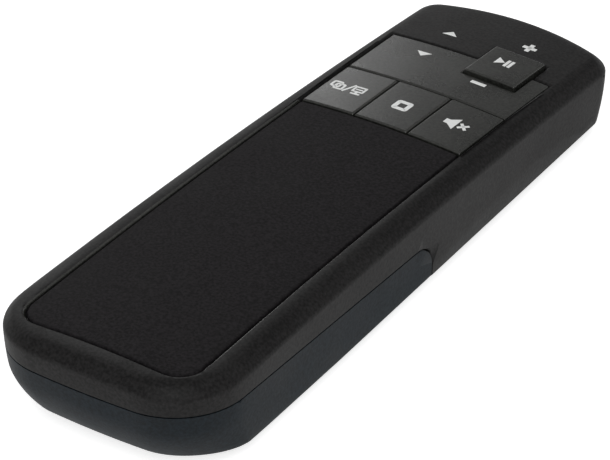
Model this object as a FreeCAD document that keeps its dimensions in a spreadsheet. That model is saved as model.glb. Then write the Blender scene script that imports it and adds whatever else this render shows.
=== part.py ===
"""Wireless presentation clicker with a palm pad, a key field and an AAA battery bay.

Millimetres. The deck frame has X to the right, Y towards the pointing end and Z up out of
the palm pad, with its origin on the pad where the keys begin. The housings, the pad, the
keys and the circuit board are drawn in it. The battery bay is drawn in the stand frame,
where the underside lies flat on Z = 0. A Placement tilts the deck into the stand frame.
"""

import FreeCAD, Part
import math
import os
import Sketcher

NODES_FOLDER = "parts"

# Housing outline, crown and walls
SIZES = {
    "near_end": 85.6,
    "far_end": 47.3,
    "near_half_width": 22.3,
    "far_half_width": 19.9,
    "near_corner": 13.0,
    "far_corner": 5.0,
    "near_bow": 180.0,
    "far_bow": 62.0,
    "section_top": 3.0,
    "parting_depth": 8.5,
    "section_bottom": 26.0,
    "near_tuck": 6.0,
    "far_tuck": 13.5,
    "side_draft": 0.6,
    "crown_across": 202.0,
    "crown_along": 1394.0,
    "body_depth": 17.4,
    "tilt": 3.2,
    # The top edge is cut twice and the bottom edge once
    "top_edge": 1.95,
    "top_edge_soft": 0.7,
    "bottom_edge": 2.5,
    "wall": 1.8,
    "top_wall": 2.8,
    "seam": 0.25,
    # Where the battery cover ends and how its top corner is rounded
    "cover_end": 14.9,
    "cover_corner": 5.0,
    "floor_inset": 6.2,
    "floor_far_tuck": 5.0,
    "floor_lip": 1.4,
    "lip_height": 1.2,
    # Palm pad
    "pad_length": 80.6,
    "pad_near_half_width": 17.3,
    "pad_far_half_width": 16.5,
    "pad_corner": 4.8,
    "pad_recess": 1.5,
    "pad_thickness": 1.2,
    "glue_thickness": 0.15,
    "glue_gap": 0.03,
    "pad_gap": 0.3,
    "rim_bevel": 0.4,
    # Key field
    "field_half_width": 16.5,
    "key_width": 11.0,
    "key_depth": 14.45,
    "rocker_far": 29.0,
    "play_left": 2.1,
    "play_right": 12.7,
    "play_near": 23.2,
    "play_far": 33.9,
    "play_rise": 0.8,
    "key_gap": 0.3,
    "key_bevel": 0.25,
    "seat_depth": 3.6,
    "seat_margin": 2.2,
    "flange_gap": 0.3,
    "flange_thickness": 0.65,
    "flange_reach": 1.2,
    "pivot_radius": 0.6,
    "pivot_length": 22.0,
    "rocker_flange_depth": 4.0,
    # Guide frame, board and switches under the keys
    "frame_depth": 5.2,
    "frame_thickness": 1.0,
    "board_depth": 7.6,
    "board_thickness": 1.0,
    "board_half_width": 15.6,
    "board_near": 3.0,
    "board_far": 37.0,
    "stem_width": 3.2,
    "stem_gap": 0.2,
    "stem_depth": 6.5,
    "dome_radius": 2.2,
    "dome_height": 0.5,
    "post_radius": 2.4,
    "boss_radius": 2.6,
    "boss_x": 12.5,
    "boss_near": 9.0,
    "far_post_y": 33.5,
    "screw_radius": 1.0,
    "screw_head_radius": 1.9,
    "screw_head": 1.1,
    "screw_gap": 0.05,
    "screw_sink": 0.5,
    "screw_length": 9.0,
    # Battery bay, in the stand frame
    "cell_diameter": 10.5,
    "cell_length": 44.5,
    "nub_radius": 1.9,
    "nub_height": 0.8,
    "cell_spacing": 11.5,
    "cell_near": 67.2,
    "cell_lift": 0.3,
    "cell_gap": 0.25,
    "bay_wall": 1.2,
    "bay_depth": 9.5,
    "spring_room": 4.0,
    "contact_thickness": 0.4,
    "spring_base": 3.4,
    "spring_tip": 2.0,
    "stand_shift": 19.0,
}

doc = FreeCAD.newDocument("clicker")
sheet = doc.addObject("Spreadsheet::Sheet", "sizes")
CELLS = {}
for row, (alias, value) in enumerate(SIZES.items(), start=1):
    CELLS[alias] = f"B{row}"
    sheet.set(f"A{row}", alias)
    sheet.set(CELLS[alias], str(value))
    sheet.setAlias(CELLS[alias], alias)
doc.recompute()


def size(words):
    """Work out an expression over the sheet, such as 'wall + seam'."""
    return float(sheet.evalExpression(words))


def bound(words):
    """Turn sheet words into an expression that any object can be bound to."""
    out = []
    for piece in words.replace("(", " ( ").replace(")", " ) ").split():
        out.append(f"sizes.{piece}" if piece in SIZES else piece)
    joined = " ".join(out)
    for function in ("max", "sin", "cos", "tan"):
        joined = joined.replace(f"{function} (", f"{function}(")
    return joined


def bind(thing, **expressions):
    """Bind properties to sheet expressions; __ in a name stands for a dot."""
    for name, words in expressions.items():
        thing.setExpression(name.replace("__", "."), bound(words))
    return thing


# General solids


def box(name, x, y, z):
    """Make a box from three (low, high) pairs of sheet expressions."""
    block = doc.addObject("Part::Box", name)
    pairs = {"x": x, "y": y, "z": z}
    for side, (axis, (low, high)) in zip(("Length", "Width", "Height"), pairs.items()):
        block.setExpression(side, bound(f"( {high} ) - ( {low} )"))
        block.setExpression(f"Placement.Base.{axis}", bound(low))
    return block


def cylinder(name, radius, x, y, z):
    """Make an upright cylinder at x, y between a (low, high) pair of heights."""
    post = doc.addObject("Part::Cylinder", name)
    low, high = z
    bind(post, Radius=radius, Height=f"( {high} ) - ( {low} )")
    bind(post, Placement__Base__x=x, Placement__Base__y=y, Placement__Base__z=low)
    return post


def cut(name, base, *tools):
    """Take tools away from a base."""
    tool = tools[0] if len(tools) == 1 else join(name + "_tools", *tools)
    result = doc.addObject("Part::Cut", name)
    result.Base = base
    result.Tool = tool
    return result


def join(name, *pieces):
    """Fuse pieces into one solid."""
    result = doc.addObject("Part::MultiFuse", name)
    result.Shapes = list(pieces)
    return result


def common(name, *pieces):
    """Keep what all pieces share."""
    result = doc.addObject("Part::MultiCommon", name)
    result.Shapes = list(pieces)
    return result


def edged(kind, name, base, words, chosen):
    """Round or bevel the edges that a test picks, by a size in sheet words."""
    doc.recompute()
    result = doc.addObject(f"Part::{kind}", name)
    result.Base = base
    amount = size(words)
    edges = enumerate(base.Shape.Edges, start=1)
    result.Edges = [(number, amount, amount) for number, edge in edges if chosen(edge)]
    doc.recompute()
    return result


def edges_on(base, kind):
    """List the edges that border a piece's faces of one surface kind."""
    doc.recompute()
    faces = [face for face in base.Shape.Faces if isinstance(face.Surface, kind)]
    return {edge.hashCode() for face in faces for edge in face.Edges}


def bevelled(name, base, words, kind):
    """Bevel all edges that border faces of one surface kind."""
    wanted = edges_on(base, kind)
    return edged("Chamfer", name, base, words, lambda edge: edge.hashCode() in wanted)


def crowned(name, drop):
    """Make the big ring whose outer surface is the crowned top, lowered by a drop."""
    ring = doc.addObject("Part::Torus", name)
    ring.Placement.Rotation = FreeCAD.Rotation(FreeCAD.Vector(0, 1, 0), 90)
    bind(ring, Radius1="crown_along - crown_across", Radius2=f"crown_across - ( {drop} )")
    bind(ring, Placement__Base__z="0 - crown_along")
    return ring


def underside(name, lift):
    """Make the big block above the sloping underside, raised by a lift."""
    block = doc.addObject("Part::Box", name)
    block.Length = 120
    block.Width = 300
    block.Height = 80
    turn = FreeCAD.Rotation(FreeCAD.Vector(1, 0, 0), size("tilt"))
    block.Placement = FreeCAD.Placement(FreeCAD.Vector(-60, 0, 0), turn)
    half = "150 * cos( tilt * 1deg )"
    fall = "150 * sin( tilt * 1deg )"
    rise = f"( {lift} ) / cos( tilt * 1deg )"
    bind(block, Placement__Base__y=f"0 - {half}")
    bind(block, Placement__Base__z=f"0 - body_depth - {fall} + {rise}")
    return block


# Sketches


def origin_plane(body, role):
    """Find one origin plane of a body by its role."""
    return next(f for f in body.Origin.OriginFeatures if f.Role == role)


def new_sketch(body, name, offset="0", role="XY_Plane"):
    """Add a sketch on an origin plane, moved along its normal by sheet words."""
    sketch = body.newObject("Sketcher::SketchObject", name)
    sketch.AttachmentSupport = [(origin_plane(body, role), "")]
    sketch.MapMode = "FlatFace"
    sketch.setExpression("AttachmentOffset.Base.z", bound(offset))
    return sketch


def arc(x, y, radius, start, end):
    """Make a sketch arc, counterclockwise between two angles in radians."""
    circle = Part.Circle(FreeCAD.Vector(x, y, 0), FreeCAD.Vector(0, 0, 1), radius)
    return Part.ArcOfCircle(circle, start, end)


def outline_words(inset, side, near_tuck, far_tuck):
    """Name the driving lengths of a plan outline that is set in all round."""
    return {
        "near": f"near_end - ( {inset} ) - ( {near_tuck} )",
        "far": f"far_end - ( {inset} ) - ( {far_tuck} )",
        "near_r": f"near_corner - ( {inset} )",
        "far_r": f"max( far_corner - ( {inset} ) ; 1 )",
        "near_x": f"near_half_width - near_corner - ( {side} )",
        "far_x": f"far_half_width - ( {inset} ) - max( far_corner - ( {inset} ) ; 1 ) - ( {side} )",
    }


def outline_sketch(body, name, offset, inset="0", side="0", near_tuck="0", far_tuck="0"):
    """Draw the housing's plan: bowed ends, tapered sides and four tangent corners."""
    sketch = new_sketch(body, name, offset)
    words = outline_words(inset, side, near_tuck, far_tuck)
    near, far, near_r, far_r, near_x, far_x = (size(words[k]) for k in words)
    near_bow, far_bow = size("near_bow"), size("far_bow")
    near_c = near_bow - near
    far_c = far - far_bow
    near_y = near_c - math.sqrt((near_bow - near_r) ** 2 - near_x**2)
    far_y = far_c + math.sqrt((far_bow - far_r) ** 2 - far_x**2)
    near_a = math.atan2(near_y - near_c, near_x)
    far_a = math.atan2(far_y - far_c, far_x)
    span = math.hypot(far_x - near_x, far_y - near_y)
    lean = math.atan2(far_y - near_y, far_x - near_x) - math.acos((near_r - far_r) / span)
    normal = FreeCAD.Vector(math.cos(lean), math.sin(lean), 0)
    low = FreeCAD.Vector(near_x, near_y, 0) + normal * near_r
    high = FreeCAD.Vector(far_x, far_y, 0) + normal * far_r
    mirror = FreeCAD.Vector(-1, 1, 1)
    low_left = FreeCAD.Vector(low.x * mirror.x, low.y, 0)
    high_left = FreeCAD.Vector(high.x * mirror.x, high.y, 0)
    pi = math.pi
    edges = [
        arc(0, near_c, near_bow, -pi - near_a, near_a),
        arc(near_x, near_y, near_r, near_a, lean),
        Part.LineSegment(low, high),
        arc(far_x, far_y, far_r, lean, far_a),
        arc(0, far_c, far_bow, far_a, pi - far_a),
        arc(-far_x, far_y, far_r, pi - far_a, pi - lean),
        Part.LineSegment(high_left, low_left),
        arc(-near_x, near_y, near_r, pi - lean, pi - near_a),
    ]
    sketch.addGeometry(edges, False)
    rules = [Sketcher.Constraint("Tangent", i, 2, (i + 1) % 8, 1) for i in range(8)]
    rules += [Sketcher.Constraint("Equal", 1, 7), Sketcher.Constraint("Equal", 3, 5)]
    rules += [Sketcher.Constraint("PointOnObject", 0, 3, -2)]
    rules += [Sketcher.Constraint("PointOnObject", 4, 3, -2)]
    sketch.addConstraint(rules)
    driven = [
        (Sketcher.Constraint("Radius", 0, near_bow), "near_bow"),
        (Sketcher.Constraint("Radius", 4, far_bow), "far_bow"),
        (Sketcher.Constraint("Radius", 1, near_r), words["near_r"]),
        (Sketcher.Constraint("Radius", 3, far_r), words["far_r"]),
        (Sketcher.Constraint("DistanceX", -1, 1, 1, 3, near_x), words["near_x"]),
        (Sketcher.Constraint("DistanceX", 7, 3, -1, 1, near_x), words["near_x"]),
        (Sketcher.Constraint("DistanceX", -1, 1, 3, 3, far_x), words["far_x"]),
        (Sketcher.Constraint("DistanceX", 5, 3, -1, 1, far_x), words["far_x"]),
        (Sketcher.Constraint("DistanceY", -1, 1, 0, 3, near_c), f"near_bow - ( {words['near']} )"),
        (Sketcher.Constraint("DistanceY", 4, 3, -1, 1, -far_c), f"far_bow - ( {words['far']} )"),
    ]
    for rule, expression in driven:
        index = sketch.addConstraint(rule)
        sketch.setExpression(f"Constraints[{index}]", bound(expression))
    return sketch


def housing_block(name, inset="0"):
    """Loft the housing's sides through three plan outlines, all set in alike."""
    body = doc.addObject("PartDesign::Body", name)
    top = outline_sketch(body, name + "_top", "section_top", inset)
    middle = outline_sketch(body, name + "_middle", "0 - parting_depth", inset)
    bottom = outline_sketch(
        body, name + "_bottom", "0 - section_bottom", inset, "side_draft", "near_tuck", "far_tuck"
    )
    loft = body.newObject("PartDesign::AdditiveLoft", name + "_loft")
    loft.Profile = top
    loft.Sections = [middle, bottom]
    loft.Ruled = False
    return body


def form(name, inset, drop, lift):
    """Make the whole housing form, or the hollow inside it, with sharp edges."""
    return common(
        name,
        housing_block(name + "_block", inset),
        crowned(name + "_crown", drop),
        underside(name + "_under", lift),
    )


def outline_prism(name, inset, far_tuck="0"):
    """Pad one plan outline from below the underside up past the top."""
    body = doc.addObject("PartDesign::Body", name)
    sketch = outline_sketch(body, name + "_plan", "0 - section_bottom", inset, far_tuck=far_tuck)
    pad = body.newObject("PartDesign::Pad", name + "_pad")
    pad.Profile = sketch
    pad.setExpression("Length", bound("section_bottom + section_top"))
    return body


def pad_prism(name, inset):
    """Pad the palm pad's plan, four tapered sides with rounded near corners."""
    body = doc.addObject("PartDesign::Body", name)
    sketch = new_sketch(body, name + "_plan", "0 - section_bottom")
    grow = f"( {inset} )"
    near_x, far_x = size("pad_near_half_width"), size("pad_far_half_width")
    near_y = size("pad_length")
    corners = [(-near_x, -near_y), (near_x, -near_y), (far_x, 0), (-far_x, 0)]
    points = [FreeCAD.Vector(x, y, 0) for x, y in corners]
    for i in range(4):
        sketch.addGeometry(Part.LineSegment(points[i], points[(i + 1) % 4]), False)
    for i in range(4):
        sketch.addConstraint(Sketcher.Constraint("Coincident", i, 2, (i + 1) % 4, 1))
    driven = [
        ("DistanceX", -1, 1, 0, 2, near_x, f"pad_near_half_width - {grow}"),
        ("DistanceX", 0, 1, -1, 1, near_x, f"pad_near_half_width - {grow}"),
        ("DistanceX", -1, 1, 2, 1, far_x, f"pad_far_half_width - {grow}"),
        ("DistanceX", 2, 2, -1, 1, far_x, f"pad_far_half_width - {grow}"),
        ("DistanceY", 0, 1, -1, 1, near_y, f"pad_length - {grow}"),
        ("DistanceY", 0, 2, -1, 1, near_y, f"pad_length - {grow}"),
        ("DistanceY", 2, 1, -1, 1, 0.1, f"{grow}"),
        ("DistanceY", 2, 2, -1, 1, 0.1, f"{grow}"),
    ]
    for *rule, expression in driven:
        index = sketch.addConstraint(Sketcher.Constraint(*rule))
        sketch.setExpression(f"Constraints[{index}]", bound(expression))
    pad = body.newObject("PartDesign::Pad", name + "_pad")
    pad.Profile = sketch
    pad.setExpression("Length", bound("section_bottom + section_top"))
    doc.recompute()
    upright = [
        f"Edge{i}"
        for i, edge in enumerate(pad.Shape.Edges, start=1)
        if edge.tangentAt(edge.FirstParameter).z ** 2 > 0.9 and edge.CenterOfMass.y < -near_y / 2
    ]
    turn = body.newObject("PartDesign::Fillet", name + "_corners")
    turn.Base = (pad, upright)
    turn.setExpression("Radius", bound(f"pad_corner - {grow}"))
    return body


NODES = []
BIG = "200"


def node(thing, label, frame="deck"):
    """Give a finished piece its node name and remember the frame it was drawn in."""
    thing.Label = label
    NODES.append((thing, frame))
    return thing


# Housing forms, outside and inside

outer_sharp = form("outer_sharp", "0", "0", "0")
outer_top = bevelled("outer_top", outer_sharp, "top_edge", Part.Toroid)
outer_low = bevelled("outer_low", outer_top, "bottom_edge", Part.Plane)
outer = bevelled("outer_form", outer_low, "top_edge_soft", Part.Toroid)
inner_sharp = form("inner_sharp", "wall", "top_wall", "wall")
inner = bevelled("inner_form", inner_sharp, "bottom_edge * 0.56", Part.Plane)
ACROSS = (f"0 - {BIG}", BIG)


def cover_space(name, gap):
    """Make the block below the parting plane that belongs to the battery cover."""
    block = box(
        name + "_block",
        ACROSS,
        (f"0 - {BIG}", f"0 - cover_end - {gap}"),
        (f"0 - {BIG}", f"0 - parting_depth - {gap}"),
    )
    corner = FreeCAD.Vector(0, -size("cover_end"), -size("parting_depth"))

    def at_corner(edge):
        middle = edge.CenterOfMass
        return abs(middle.y - corner.y) < 2 and abs(middle.z - corner.z) < 2

    return edged("Fillet", name, block, "cover_corner", at_corner)


def cell_words(x, y, grow):
    """Grow or shrink a key cell on all sides, in sheet words."""
    return (
        (f"{x[0]} - ( {grow} )", f"{x[1]} + ( {grow} )"),
        (f"{y[0]} - ( {grow} )", f"{y[1]} + ( {grow} )"),
    )


FIELD = (("0 - field_half_width", "field_half_width"), ("0", "rocker_far"))
PLAY = (("play_left", "play_right"), ("play_near", "play_far"))
KEY_LINE = ("0", "key_depth")
BLOCK_BOTTOM = "0 - seat_depth - flange_gap - flange_thickness"
FLANGE_TOP = "0 - seat_depth - flange_gap"

SCREW_BOTTOM = "0 - body_depth - boss_near * tan( tilt * 1deg ) + screw_sink"
SIDES = (("left", -1), ("right", 1))


def screw_solid(name, sign, grow):
    """Head and shank of one floor screw, grown on all sides by a gap."""
    place = (f"{sign} * boss_x", "0 - boss_near")
    sink = "screw_sink * 2" if grow != "0" else "0"
    head_ends = (f"{SCREW_BOTTOM} - {sink}", f"{SCREW_BOTTOM} + screw_head + {grow}")
    shank_ends = (f"{SCREW_BOTTOM} + 0.1", f"{SCREW_BOTTOM} + screw_length + {grow}")
    head = cylinder(f"{name}_head", f"screw_head_radius + {grow}", *place, head_ends)
    shank = cylinder(f"{name}_shank", f"screw_radius + {grow}", *place, shank_ends)
    return join(name, head, shank)


def screw_holes(name, gap):
    """Counterbored holes for both floor screws."""
    return [screw_solid(f"{name}_{side}", sign, gap) for side, sign in SIDES]


def crown_gap(edge):
    """Tell how far the start of an edge lies from the crowned top."""
    point = edge.valueAt(edge.FirstParameter)
    ring = size("crown_along") - size("crown_across")
    out = math.hypot(point.y, point.z + size("crown_along")) - ring
    return abs(math.hypot(out, point.x) - size("crown_across"))


def make_upper_housing():
    """Shell with the pad recess, the key opening, the flat key seat and screw bosses."""
    seat = box(
        "key_seat",
        ("0 - field_half_width - seat_margin", "field_half_width + seat_margin"),
        ("0 - seat_margin - flange_reach", "play_far + seat_margin"),
        ("0 - seat_depth", "0 - pad_recess"),
    )
    boss_low = "0 - body_depth + wall + lip_height + seam - boss_near * tan( tilt * 1deg )"
    boss_ends = (boss_low, "0 - pad_recess - 1")
    bosses = [
        cylinder(f"screw_boss_{side}", "boss_radius", f"{sign} * boss_x", "0 - boss_near", boss_ends)
        for side, sign in SIDES
    ]
    shell = cut("upper_shell", outer, inner)
    solid = join("upper_solid", shell, common("upper_ribs", outer, join("ribs", seat, *bosses)))
    recess_plan = pad_prism("pad_recess_plan", "0")
    recess = cut("pad_recess_cut", recess_plan, crowned("recess_floor", "pad_recess"))
    key_heights = ("0 - body_depth / 2", "5")
    field = box("field_opening", *cell_words(*FIELD, "key_gap / 2"), key_heights)
    play = box("play_opening", *cell_words(*PLAY, "key_gap / 2"), key_heights)
    low = (f"0 - {BIG}", "0 - parting_depth - 3")
    floor = common(
        "floor_opening",
        outline_prism("floor_opening_plan", "floor_inset", "floor_far_tuck"),
        box("floor_opening_side", ACROSS, ("0 - cover_end - 3", BIG), low),
        cut(
            "floor_opening_low",
            box("everything", ACROSS, ACROSS, ACROSS),
            underside("floor_top", "wall + 0.2"),
        ),
    )
    pilots = screw_holes("pilot_hole", "screw_gap")
    open_top = cut("upper_open", solid, recess, field, play)
    wanted = edges_on(open_top, Part.Toroid)

    def at_pad(edge):
        middle = edge.CenterOfMass
        inside = abs(middle.x) < size("pad_near_half_width") + 0.5 and middle.y < -0.5
        return edge.hashCode() in wanted and inside and crown_gap(edge) < 0.2

    rim = edged("Chamfer", "pad_rim", open_top, "rim_bevel", at_pad)
    return cut("upper_housing", rim, floor, cover_space("cover_cut", "0"), *pilots)


def make_lower_housing():
    """Floor plate with an inner lip and posts under the circuit board."""
    near = box("floor_near", ACROSS, ("0 - cover_end + seam", BIG), ACROSS)
    plate = common("floor_plate", outline_prism("floor_plan", "floor_inset + seam", "floor_far_tuck"), near, outer)
    thin = cut("floor_thin", plate, underside("floor_inside", "wall"))
    lip_plan = outline_prism("lip_plan", "floor_inset - floor_lip", "floor_far_tuck")
    lip = cut(
        "floor_lip_ring",
        common("lip_block", lip_plan, near, underside("lip_under", "wall")),
        underside("lip_over", "wall + lip_height"),
    )
    posts = [
        cylinder(
            f"board_post_{i}",
            "post_radius",
            f"{sign} * boss_x",
            y,
            ("0 - body_depth", "0 - board_depth - board_thickness"),
        )
        for i, (sign, y) in enumerate(((-1, "4"), (1, "4"), (-1, "far_post_y"), (1, "far_post_y")))
    ]
    standing = common("board_posts", join("posts", *posts), underside("posts_under", "wall + lip_height / 2"))
    solid = join("floor_solid", thin, lip, standing)
    return cut("lower_housing", solid, *screw_holes("floor_hole", "stem_gap"))


def make_battery_cover():
    """U-shaped cover that wraps the near end below the parting plane."""
    skin = cut("cover_skin", outer, inner)
    return common("battery_cover", skin, cover_space("cover_block", "seam"))


def make_pad():
    """Palm pad and the adhesive sheet under it, both following the crown."""
    plan = pad_prism("pad_plan", "pad_gap")
    glue_top = "pad_recess - glue_thickness"
    whole = common("pad_whole", plan, crowned("pad_top", f"{glue_top} - pad_thickness"))
    raw = cut("pad_raw", whole, crowned("pad_bottom", glue_top))
    glue = cut(
        "pad_glue",
        common("glue_whole", plan, crowned("glue_top", glue_top)),
        crowned("glue_bottom", "pad_recess - glue_gap"),
    )
    return raw, glue


def make_key(name, x, y, flange_x, flange_y, stem_x, stem_y, rise="0"):
    """Key cap that follows the crown, with a retaining flange and a guide stem."""
    cell = cell_words(x, y, "0 - key_gap / 2")
    block = box(name + "_block", *cell, (BLOCK_BOTTOM, "5"))
    cap = common(name + "_cap", block, crowned(name + "_top", f"0 - {rise}"))
    soft = bevelled(name + "_soft", cap, "key_bevel", Part.Toroid)
    flange = box(name + "_flange", flange_x, flange_y, (BLOCK_BOTTOM, FLANGE_TOP))
    return join(name, soft, flange, stem(name, stem_x, stem_y))


def stem(name, x, y):
    """Square guide stem under a key, between the cap and its switch."""
    half = "stem_width / 2"
    return box(
        name + "_stem",
        (f"{x} - {half}", f"{x} + {half}"),
        (f"{y} - {half}", f"{y} + {half}"),
        ("0 - stem_depth", "0 - seat_depth - 0.5"),
    )


MID_KEY_Y = "key_depth / 2"
MID_PLAY_X = "( play_left + play_right ) / 2"
MID_PLAY_Y = "( play_near + play_far ) / 2"
MID_ROCKER_Y = "( key_depth + rocker_far ) / 2"
SWITCHES = {
    "screen": ("0 - key_width", MID_KEY_Y),
    "stop": ("0", MID_KEY_Y),
    "mute": ("key_width", MID_KEY_Y),
    "play": (MID_PLAY_X, MID_PLAY_Y),
    "down": ("0 - key_width * 0.7", "key_depth + stem_width"),
    "minus": ("key_width * 0.7", "key_depth + stem_width"),
    "up": ("0 - key_width * 0.7", "rocker_far - stem_width"),
    "plus": ("play_right + stem_width * 0.6", "rocker_far - stem_width"),
}


def make_keys():
    """Three keys in a row and the key that straddles the rocker's far edge."""
    half = "key_width / 2"
    reach = "flange_reach"
    gap = "key_gap / 2"
    near = (f"0 - {reach}", f"key_depth - {gap}")
    left = make_key(
        "key_screen",
        ("0 - field_half_width", f"0 - {half}"),
        KEY_LINE,
        (f"0 - field_half_width - {reach}", f"0 - {half} - {gap}"),
        near,
        *SWITCHES["screen"],
    )
    middle = make_key(
        "key_stop",
        (f"0 - {half}", half),
        KEY_LINE,
        (f"0 - {half} + {gap}", f"{half} - {gap}"),
        near,
        *SWITCHES["stop"],
    )
    right = make_key(
        "key_mute",
        (half, "field_half_width"),
        KEY_LINE,
        (f"{half} + {gap}", f"field_half_width + {reach}"),
        near,
        *SWITCHES["mute"],
    )
    play = make_key(
        "key_play_pause",
        *PLAY,
        (f"play_left - {reach}", f"play_right + {reach}"),
        ("rocker_far + 0.5", f"play_far + {reach}"),
        *SWITCHES["play"],
        rise="play_rise",
    )
    return left, middle, right, play


def make_rocker():
    """Wide rocker plate with a notch, side flanges, four stems and a pivot rib."""
    cell = cell_words(FIELD[0], ("key_depth", "rocker_far"), "0 - key_gap / 2")
    block = box("rocker_block", *cell, (BLOCK_BOTTOM, "5"))
    notch = box("rocker_notch", *cell_words(*PLAY, "key_gap / 2"), (f"0 - {BIG}", BIG))
    cap = common("rocker_cap", cut("rocker_notched", block, notch), crowned("rocker_top", "0"))
    soft = bevelled("rocker_soft", cap, "key_bevel", Part.Toroid)
    pivot = doc.addObject("Part::Cylinder", "pivot_rib")
    pivot.Placement.Rotation = FreeCAD.Rotation(FreeCAD.Vector(0, 1, 0), 90)
    bind(pivot, Radius="pivot_radius", Height="pivot_length")
    bind(
        pivot,
        Placement__Base__x="0 - pivot_length / 2",
        Placement__Base__y=MID_ROCKER_Y,
        Placement__Base__z="0 - frame_depth + pivot_radius",
    )
    web = box(
        "pivot_web",
        ("0 - pivot_length / 2", "pivot_length / 2"),
        (f"{MID_ROCKER_Y} - pivot_radius", f"{MID_ROCKER_Y} + pivot_radius"),
        ("0 - frame_depth + pivot_radius", "0 - seat_depth"),
    )
    flange = box(
        "rocker_flange",
        ("0 - field_half_width - flange_reach", "field_half_width + flange_reach"),
        (f"{MID_ROCKER_Y} - rocker_flange_depth / 2", f"{MID_ROCKER_Y} + rocker_flange_depth / 2"),
        (BLOCK_BOTTOM, FLANGE_TOP),
    )
    side = cut("rocker_flange_side", flange, notch)
    stems = [stem("rocker_" + name, *SWITCHES[name]) for name in ("down", "minus", "up", "plus")]
    return join("rocker_key", soft, pivot, web, side, *stems)


def make_key_frame():
    """Guide plate with a square hole for each stem, on four feet."""
    plate = box(
        "frame_plate",
        ("0 - field_half_width - 0.6", "field_half_width + 0.6"),
        ("0 - flange_reach", "play_far + flange_reach"),
        ("0 - frame_depth - frame_thickness", "0 - frame_depth"),
    )
    half = "( stem_width / 2 + stem_gap )"
    holes = [
        box(
            f"stem_hole_{name}",
            (f"{x} - {half}", f"{x} + {half}"),
            (f"{y} - {half}", f"{y} + {half}"),
            (f"0 - {BIG}", "0"),
        )
        for name, (x, y) in SWITCHES.items()
    ]
    foot_ends = ("0 - board_depth", "0 - frame_depth - frame_thickness / 2")
    places = ((-1, "1.5"), (1, "1.5"), (-1, "far_post_y"), (1, "far_post_y"))
    feet = [
        cylinder(f"frame_foot_{i}", "screw_radius", f"{sign} * ( board_half_width - 1.5 )", y, foot_ends)
        for i, (sign, y) in enumerate(places)
    ]
    return cut("key_frame", join("frame_solid", plate, *feet), *holes)


def make_board():
    """Circuit board with its switches, radio chip and crystal."""
    top = "0 - board_depth"
    low = "0 - board_depth - board_thickness"
    board = box(
        "circuit_board",
        ("0 - board_half_width", "board_half_width"),
        ("0 - board_near", "board_far"),
        (low, top),
    )
    node(board, "circuit_board")
    for name, (x, y) in SWITCHES.items():
        dome = doc.addObject("Part::Cone", "dome_" + name)
        bind(dome, Radius1="dome_radius", Radius2="dome_radius * 0.6", Height="dome_height")
        bind(dome, Placement__Base__x=x, Placement__Base__y=y, Placement__Base__z=top)
        node(dome, "dome_" + name)
    chip = box("radio_chip", ("0 - 3", "3"), ("9", "15"), (f"{low} - 1", low))
    node(chip, "radio_chip")
    crystal = box("crystal", ("6", "9.2"), ("10", "12.5"), (f"{low} - 0.8", low))
    node(crystal, "crystal")


def make_screws():
    """Two screws that hold the floor to the bosses of the upper housing."""
    for side, sign in SIDES:
        node(screw_solid(f"screw_{side}", sign, "0"), f"screw_{side}")


# Battery bay in the stand frame

BAY_NEAR = "stand_shift - cell_near - spring_room"
BAY_FAR = "stand_shift - cell_near + cell_length + contact_thickness + 0.1"
CELL_AXIS = "wall + cell_lift + cell_diameter / 2"
HALF_BAY = "cell_spacing / 2 + cell_diameter / 2 + cell_gap"
CEILING = "wall + cell_lift + cell_diameter + cell_gap"


def lying(name, radius, x, y_low, y_high, z, tip=None):
    """Make a cylinder or cone lying along Y between two sheet expressions."""
    kind = "Part::Cone" if tip else "Part::Cylinder"
    rod = doc.addObject(kind, name)
    rod.Placement.Rotation = FreeCAD.Rotation(FreeCAD.Vector(1, 0, 0), -90)
    bind(rod, Height=f"( {y_high} ) - ( {y_low} )")
    bind(rod, Placement__Base__x=x, Placement__Base__y=y_low, Placement__Base__z=z)
    if tip:
        return bind(rod, Radius1=radius, Radius2=tip)
    return bind(rod, Radius=radius)


def deck_height(x, y):
    """Height over the stand plane of the upper housing's inside at deck place x, y."""
    fall = f"( {y} ) ^ 2 / ( 2 * crown_along ) + ( {x} ) ^ 2 / ( 2 * crown_across )"
    return f"( body_depth - top_wall - ( {fall} ) ) * cos( tilt * 1deg ) - ( {y} ) * sin( tilt * 1deg )"


def make_tray():
    """Open-bottomed battery tray hung from the pad deck by four standoffs."""
    skin = box(
        "tray_block",
        (f"0 - ( {HALF_BAY} ) - bay_wall", f"{HALF_BAY} + bay_wall"),
        (f"{BAY_NEAR} - bay_wall", f"{BAY_FAR} + bay_wall"),
        (f"{CEILING} + bay_wall - bay_depth", f"{CEILING} + bay_wall"),
    )
    room = box("tray_room", (f"0 - ( {HALF_BAY} )", HALF_BAY), (BAY_NEAR, BAY_FAR), ("0", CEILING))
    standoffs = []
    for i, (sign, place) in enumerate(((-1, "near"), (1, "near"), (-1, "far"), (1, "far"))):
        stand_y = f"{BAY_NEAR} + 5" if place == "near" else f"{BAY_FAR} - 5"
        deck_y = f"{stand_y} - stand_shift"
        x = f"{sign} * cell_spacing"
        top = f"{deck_height(x, deck_y)} - cell_lift"
        standoffs.append(cylinder(f"standoff_{i}", "post_radius", x, stand_y, (CEILING, top)))
    return join("battery_tray", cut("tray_box", skin, room), *standoffs)


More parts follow.
